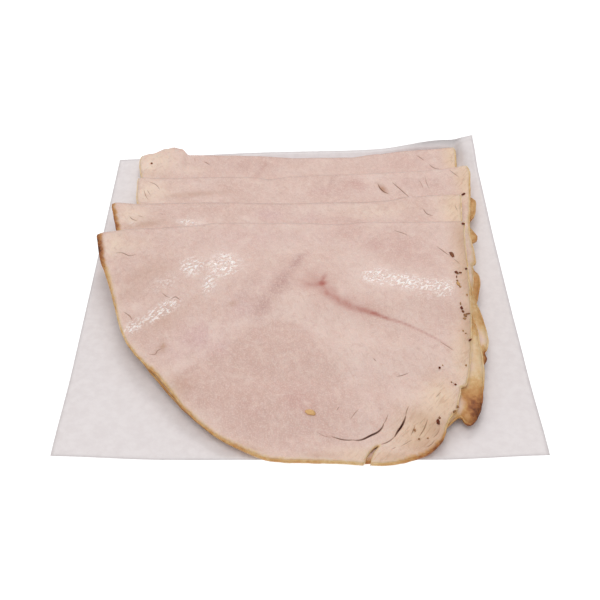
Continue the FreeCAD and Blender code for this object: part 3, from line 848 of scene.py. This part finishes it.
def crack_depth(index, flat):
    """How deep the cracks of a slice are at each point, and how much painted shade darkens them there."""
    depth, dark = np.zeros(len(flat)), np.zeros(len(flat))
    for half_width, deep, line in CRACKS[index]:
        near = np.all((flat > np.min(line, 0) - 2) & (flat < np.max(line, 0) + 2), axis=1)
        away, share = near_line(flat[near], along_line(line))
        taper = crack_taper(share)
        inner = np.clip(1 - away / (half_width * taper), 0, 1)
        depth[near] = np.maximum(depth[near], 0.6 * deep * taper * inner)
        # The painted shade: darker in wider cracks, reaching a little past their lips.
        shade = np.clip(0.05 + 3.6 * half_width, 0, 1) * taper
        edge = np.clip(1 - away / (1.5 * half_width * taper), 0, 1)
        dark[near] = np.maximum(dark[near], shade * ease(edge * 2.3))
    return depth, dark


def stain(index, flat, kind):
    """How strongly the meat of a slice is stained with one kind of stain at each point."""
    amount = np.zeros(len(flat))
    for strength, u, v, long, wide, turn in STAINS[index].get(kind, []):
        away = flat - (u, v)
        lengthwise = away[:, 0] * math.cos(turn) + away[:, 1] * math.sin(turn)
        sideways = away[:, 1] * math.cos(turn) - away[:, 0] * math.sin(turn)
        spot = strength * np.exp(-(lengthwise / long) ** 2 - (sideways / wide) ** 2)
        amount = np.maximum(amount, spot)
    return amount


def vein_strength(flat):
    """How strongly the long vein of the front slice shows at each point."""
    rows, order = np.array(VEIN), np.arange(len(VEIN))
    away, place = near_line(flat, np.column_stack([rows[:, :2], order]))
    wide, strong = [np.interp(place, order, rows[:, column]) for column in (2, 3)]
    return strong * np.exp(-(away / wide) ** 2)


def scatter(index, loop):
    """Points all over a slice laid flat, closer together where it shows and where it folds."""
    fine = 0.85 if index == FRONT else 1.0
    shown = SLICE_DEEP if index == FRONT else 27
    zones = [(-SLICE_DEEP, -ROLL - 0.3, 2), (-ROLL, ROLL, 0.5), (ROLL + 0.3, shown, fine),
             (shown, SLICE_DEEP, 2.2)]
    found = []
    for low, high, spacing in zones:
        wide = spacing if spacing > 0.6 else 0.9
        for number, level in enumerate(np.arange(low, high, spacing * ROW_STEP)):
            columns = np.arange(-SLICE_SIDE + (number % 2) * wide / 2, SLICE_SIDE, wide)
            found += [(column, level, wide) for column in columns]
    found = np.array(found)
    found = found[inside_loop(found[:, :2], loop)]
    return found[distance_to_loop(found[:, :2], loop) > found[:, 2] * EDGE_CLEAR, :2]


def clear_of(points, others, gap):
    """The points that are further than a gap from all the others."""
    keep = np.ones(len(points), bool)
    for other in others:
        near = np.abs(points[:, 0] - other[0]) < gap
        keep[near] &= np.linalg.norm(points[near] - other, axis=1) > gap
    return points[keep]


def triangulate(loop, points):
    """Triangles that fill a loop through the points: the flat points, loop first, and triangles."""
    everything = np.vstack([loop, points])
    edges = [(n, (n + 1) % len(loop)) for n in range(len(loop))]
    found = delaunay_2d_cdt([Vector(p) for p in everything], edges, [], 1, 1e-5)
    flat = np.array([tuple(p) for p in found[0]])
    return flat, [tuple(face) for face in found[2]]


def make_meat(index):
    """The meat of one folded slice: a closed sheet that tapers a little to its edge."""
    loop = slice_loop(index, 0.9 if index == FRONT else 1.2)
    if index == FRONT:
        loop = np.vstack(add_tear(loop))
    edge = loop[:, :2] - loop_normals(loop[:, :2]) * np.minimum(loop[:, 2], EDGE_INSET)[:, None]
    cracks = np.vstack([crack_points(half_width, line) for half_width, _, line in CRACKS[index]])
    cracks = cracks[inside_loop(cracks, edge)]
    cracks = cracks[distance_to_loop(cracks, edge) > CRACK_FROM_EDGE]
    points = clear_of(scatter(index, edge), cracks, CRACK_CLEAR)
    flat, triangles = triangulate(edge, np.vstack([points, cracks]))
    inward = distance_to_loop(flat, edge)
    taper = 1 - EDGE_THINNING * np.exp(-(inward / EDGE_REACH) ** 2)
    relief = 0.09 * grain(flat, 7, index + 60) + 0.04 * grain(flat, 2.6, index + 70)
    depth, dark = crack_depth(index, flat)
    outside = to_space(index, flat, LAYER / 2 * taper + relief * (inward > 0.2) - depth)
    inside = to_space(index, flat, -LAYER / 2 * taper)
    spot = np.column_stack([flat, np.full(len(flat), index * 37)])
    attributes = {"flat": np.vstack([spot, spot + (0, 0, 5)])}
    marks = {**markings(index, flat, inward, dark), **crust_strength(index, flat, inward)}
    for name, values in marks.items():
        attributes[name] = np.concatenate([values, values * (name in ("cream", "crust", "tone"))])
    points, faces = np.vstack([outside, inside]), slab(flat, triangles)
    piece = mesh_piece(f"slice_{index}_meat", points, faces, MEAT, attributes)
    fold_slice(piece)
    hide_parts(f"slice_{index}_lower_half", f"slice_{index}_fold", f"slice_{index}_upper_half")


def crust_strength(index, flat, inward):
    """How browned the meat is towards its skin at each point: how much crust, and its tone."""
    loop = slice_loop(index, 1.5)
    crust, tone = np.zeros(len(flat)), np.zeros(len(flat))
    near = np.flatnonzero(inward < 11)
    for some in np.array_split(near, max(len(near) // 2000, 1)):
        away = np.linalg.norm(flat[some][:, None] - loop[None, :, :2], axis=2)
        weight = np.exp(-((away - away.min(1)[:, None]) / 1.2) ** 2)
        weight /= weight.sum(1)[:, None]
        under = ease((-flat[some, 1] - 6) / 8) * ease((flat[some, 0] - 40) / 10)
        wide = weight @ loop[:, 2] * (0.85 + 1.0 * under) + 0.1
        wide *= 1 + 0.30 * grain(flat[some], 2.0, index + 84)
        crust[some] = ease((wide - inward[some]) / (0.35 * wide + 0.3))
        tone[some] = weight @ loop[:, 3] - 0.22 * inward[some] / wide
    return {"crust": crust, "tone": np.clip(tone, 0, 1)}


def markings(index, flat, inward, dark):
    """The painted marks on a slice laid flat, each from 0 to 1."""
    kinds = ("rosy", "pale", "lilac", "shade", "tan", "brown", "wet_and_painted_sheen", "vein", "cream")
    marks = {kind: stain(index, flat, kind) for kind in kinds}
    if index == FRONT:
        marks["vein"] = np.maximum(marks["vein"], vein_strength(flat))
        marks["muscle"] = muscle_strength(flat)
    else:
        marks["muscle"] = 0.5 * ease(0.5 + grain(flat, 12, index + 83))
    marks["vein"] = np.clip(marks["vein"] * (1 + 0.4 * grain(flat, 2.2, index + 81)), 0, 1)
    fringe = 0.75 * np.exp(-(inward / 2.4) ** 2) * (1 + 0.5 * grain(flat, 4, index + 80))
    on_right = ease((flat[:, 0] - 40) / 20) * ease((80 - np.abs(flat[:, 1])) / 10)
    on_left = 0.6 * ease((-flat[:, 0] - 40) / 20)
    fringe *= np.maximum(0.45, np.maximum(on_right, on_left))
    marks["cream"] = np.clip(np.maximum(marks["cream"], fringe), 0, 1)
    # Painted shade in the cracks.
    marks["crack"] = dark
    # Painted shade in a thin line along the back of each fold's roll.
    marks["painted_fold_shade"] = np.exp(-((flat[:, 1] - 1) / 0.7) ** 2)
    return marks


def fold_slice(piece):
    """Bake a piece's transform into its mesh."""
    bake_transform(piece)


def make_skin(index):
    """The skin round the edge of a slice: a rounded band that wraps the rim of the meat."""
    closed = index != FRONT
    loop = slice_loop(index, 1.3) if closed else add_tear(slice_loop(index, 0.8))[0]
    out = loop_normals(slice_smooth(loop[:, :2], closed))
    angles = np.linspace(0, 2 * math.pi, SKIN_SIDES, endpoint=False)
    across = 0.5 + 0.5 * np.sign(np.cos(angles)) * np.abs(np.cos(angles)) ** 0.6
    high = np.sign(np.sin(angles)) * np.abs(np.sin(angles)) ** 0.4 * LAYER / 2 * (0.8 - 0.14 * across)
    inset = np.minimum(loop[:, 2], SKIN_IN)
    flat = np.vstack([loop[:, :2] - out * (inset * (1 - share) - SKIN_OUT)[:, None] for share in across])
    heights = np.repeat(high, len(loop))
    heights += 0.05 * grain(flat, 1.8, index + 90) * np.sign(heights)
    attributes = {"flat": np.column_stack([flat, heights + index * 37]),
                  "across": np.repeat(across, len(loop)), "tone": np.tile(loop[:, 3], len(across))}
    faces = band_faces(len(loop), len(across), closed)
    piece = mesh_piece(f"slice_{index}_skin", to_space(index, flat, heights), faces, SKIN, attributes)
    fold_slice(piece)
    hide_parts(f"slice_{index}_lower_skin", f"slice_{index}_upper_skin")


def slice_smooth(loop, closed):
    """A loop with its small wiggles averaged out."""
    ends = (loop[-3:], loop[:3]) if closed else (loop[[0] * 3], loop[[-1] * 3])
    padded = np.vstack([ends[0], loop, ends[1]])
    return np.stack([np.convolve(padded[:, n], np.ones(7) / 7, "valid") for n in (0, 1)], axis=1)


def band_faces(count, sides, closed):
    """Faces of a tube of that many rows round and points along, with caps where it ends."""
    faces = []
    for side in range(sides):
        here, other = side * count, (side + 1) % sides * count
        for n in range(count if closed else count - 1):
            after = (n + 1) % count
            faces.append((here + n, here + after, other + after, other + n))
    if not closed:
        starts = range(0, sides * count, count)
        faces += [tuple(starts), tuple(start + count - 1 for start in reversed(starts))]
    return faces


# ------------------------ paper, pepper and crumb


def make_paper():
    """The sheet of deli paper, lifting at its corners and along its right side."""
    count = PAPER_POINTS
    across, back = [a.ravel() for a in np.meshgrid(*[np.linspace(0, 1, count)] * 2)]
    front_left, front_right, back_left, back_right = np.array(PAPER_CORNERS)
    front = front_left + across[:, None] * (front_right - front_left)
    rear = back_left + across[:, None] * (back_right - back_left)
    plan = front + back[:, None] * (rear - front)
    plan[:, 0] += PAPER_BOW_RIGHT * across * 4 * back * (1 - back)
    plan[:, 1] += PAPER_BOW_BACK * back * 4 * across * (1 - across)
    z = paper_lift(plan[:, 0], plan[:, 1]) + 0.12 * (1 + grain(plan, 30, 100))
    low = np.column_stack([plan, z])
    points = np.vstack([low + (0, 0, PAPER_THICK), low])
    triangles = []
    for row in range(count - 1):
        for a in range(row * count, (row + 1) * count - 1):
            triangles += [(a, a + 1, a + count + 1), (a, a + count + 1, a + count)]
    piece = mesh_piece("deli_paper_sheet", points, slab(low, triangles), PAPER, {"flat": points})
    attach(piece, "paper")
    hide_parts("deli_paper")


def lump(middle, size, seed, turn):
    """The points and faces of a small rough chip: a ball stretched and knocked about."""
    ball = bmesh.new()
    bmesh.ops.create_uvsphere(ball, u_segments=CHIP_SPOKES, v_segments=CHIP_RINGS, radius=1)
    ball.verts.index_update()
    points = np.array([(vertex.co.y, -vertex.co.x, vertex.co.z) for vertex in ball.verts])
    faces = [tuple(vertex.index for vertex in face.verts) for face in ball.faces]
    ball.free()
    bumpy = 1 + 0.45 * grain(points, 0.9, seed) + 0.25 * grain(points, 0.35, seed + 1)
    spin = np.array(Matrix.Rotation(turn, 3, "Z"))
    return (points * bumpy[:, None] * size) @ spin.T + middle, faces


def on_slice(index, u, v):
    """The place on top of a slice at one u and v."""
    return to_space(index, np.array([(u, v)]), np.array([LAYER / 2]))[0]


def make_lumps(name, items, body):
    """One mesh of many chips, each a middle, a size in x, y and z, a turn and a tone."""
    points, faces, tones = [], [], []
    for number, (middle, size, turn, tone) in enumerate(items):
        some, more = lump(np.array(middle), np.array(size), 200 + number * 3, turn)
        faces += [tuple(n + len(points) for n in face) for face in more]
        points += list(some)
        tones += [tone] * len(some)
    piece = mesh_piece(name, points, faces, PEPPER, {"flat": points, "tone": tones})
    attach(piece, body)
    return piece


# The cracked pepper on each slice: u, v, half the length across and along v, its turn and its tone.
PEPPER_BITS = {
    1: [(-61.3, 7.7, 0.49, 0.48, 0.6, 0.1)],
    2: [(64, 16, 1.04, 0.46, 0.7, 0)],
    4: [(60.2, 18.3, 0.73, 1.32, 0.15, 0.12), (59.7, 17.4, 0.37, 0.52, 0.5, 0),
        (60.5, 26.8, 0.59, 0.48, 0.4, 0.05), (60.9, 27.6, 0.37, 0.3, 0, 0.2),
        (61.9, 27.1, 0.54, 0.34, 0, 0.1), (60.4, 29, 0.24, 0.39, 0, 0.2),
        (60.4, 30.7, 0.29, 0.34, 0.2, 0.35), (60.6, 32, 0.51, 1.09, 0.25, 0.72),
        (61.1, 33.4, 0.32, 0.39, 0, 0.55), (60.6, 41.6, 0.44, 0.69, 0.1, 0),
        (61, 42.9, 0.41, 0.53, 0.3, 0.1), (61.7, 44.3, 0.63, 0.76, 0.6, 0.3),
        (62.6, 43.7, 0.81, 0.23, 0.15, 0.2), (61.3, 45.6, 0.54, 0.41, 0, 0.45),
        (60.4, 40, 0.2, 0.69, 0.1, 0.4), (60.2, 50.7, 0.27, 0.34, 0.3, 0.55),
        (60.9, 51.8, 0.3, 0.23, 0.3, 0.5), (62, 54.4, 0.73, 0.3, 0.8, 0), (64.2, 25.2, 0.39, 0.39, 0, 0),
        (66, 2.9, 0.61, 0.48, 0, 0), (63.1, 36.5, 0.3, 0.4, 0, 0.6), (51.1, 64.4, 0.41, 0.41, 0, 0),
        (52.2, 63.6, 0.22, 0.21, 0, 0.7), (55.6, 70.5, 0.34, 0.32, 0, 0), (54.4, 69.6, 0.2, 0.25, 0.4, 0.4),
        (59.7, 63.4, 0.3, 0.34, 0, 0.5), (48.8, 83, 0.51, 1.21, 0.1, 0.02),
        (49.4, 82, 0.32, 0.41, 0.4, 0.2), (41.5, 85.8, 0.32, 0.39, 0.2, 0.4),
        (42.6, 88.8, 0.32, 0.3, 0.2, 0.3), (45.3, 88.4, 0.29, 0.25, 0.2, 0.4),
        (54.2, 80, 0.61, 0.39, 0.7, 0.3), (55.4, 78.4, 0.41, 0.46, 0.3, 0.35)],
}


def make_pepper():
    """The cracked pepper that lies on each slice's upper half."""
    for index, bits in PEPPER_BITS.items():
        items = []
        for u, v, across, along, turn, tone in bits:
            place = on_slice(index, u, v) + (0, 0, PEPPER_LIFT)
            items.append((place, (across, along, PEPPER_HIGH), turn, tone))
        piece = make_lumps(f"slice_{index}_pepper", items, f"slice_{index}_upper")
        if index == FRONT:
            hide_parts("pepper_flakes")


def make_crumb():
    """The crumb of browned skin near the front of the top slice."""
    crumb = [(on_slice(FRONT, *CRUMB_PLACE) + (0, 0, CRUMB_LIFT), CRUMB_SIZE, CRUMB_TURN, 1)]
    piece = make_lumps("crumb_of_skin", crumb, f"slice_{FRONT}_upper")
    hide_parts("skin_crumb")


# ------------------------ stage, light and camera


# Each light: its name, place, width, depth and power.
LIGHTS = [("ceiling", (-0.06, -0.26, 1), 0.9, 0.9, 4.3), ("window", (0.03, 0.72, 0.7), 0.5, 0.22, 1.9)]
WORLD_LIGHT = 0.51
TABLE_SIZE, TABLE_DROP, TABLE_GLOW, TABLE_GREY = 4.0, 0.0006, 0.95, 0.25
CAMERA_PLACE = (0, -0.2228, 0.2152)
CAMERA_TILT = math.radians(45)
CAMERA_LENS = 50.58


def make_stage():
    """A plain white table top under the paper."""
    bpy.ops.mesh.primitive_plane_add(size=TABLE_SIZE, location=(0, 0, -TABLE_DROP))
    floor = bpy.context.object
    floor.name = "table_top"
    material, tree = new_material("white_table")
    diffuse = add(tree, "ShaderNodeBsdfDiffuse", {"Color": (TABLE_GREY, TABLE_GREY, TABLE_GREY, 1)})
    glow = add(tree, "ShaderNodeEmission", {"Color": (1, 1, 1, 1), "Strength": TABLE_GLOW})
    both = add(tree, "ShaderNodeAddShader", {0: diffuse.outputs[0], 1: glow.outputs[0]})
    add(tree, "ShaderNodeOutputMaterial", {"Surface": both.outputs[0]})
    floor.data.materials.append(material)


def make_lights():
    """Soft light from above, a narrow window behind that the wet meat glints in, and white all round."""
    for name, location, width, depth, power in LIGHTS:
        data = bpy.data.lights.new(name, "AREA")
        data.energy, data.shape, data.size, data.size_y = power, "RECTANGLE", width, depth
        lamp = place_object(name, data, location)
        lamp.rotation_euler = (-Vector(location)).to_track_quat("-Z", "Y").to_euler()
    world = bpy.data.worlds.new("white")
    world.use_nodes = True
    background = world.node_tree.nodes["Background"].inputs
    background["Color"].default_value = (1, 1, 1, 1)
    background["Strength"].default_value = WORLD_LIGHT
    bpy.context.scene.world = world


def make_camera():
    """The camera, in front of the paper and looking down at it."""
    data = bpy.data.cameras.new("camera")
    data.lens = CAMERA_LENS
    camera = place_object("camera", data, CAMERA_PLACE)
    camera.rotation_euler = (CAMERA_TILT, 0, 0)
    bpy.context.scene.camera = camera
    bpy.context.scene.view_settings.view_transform = "Standard"


make_paper()
for number in range(1, SLICE_COUNT + 1):
    make_meat(number)
    make_skin(number)
make_pepper()
make_crumb()
make_stage()
make_lights()
make_camera()
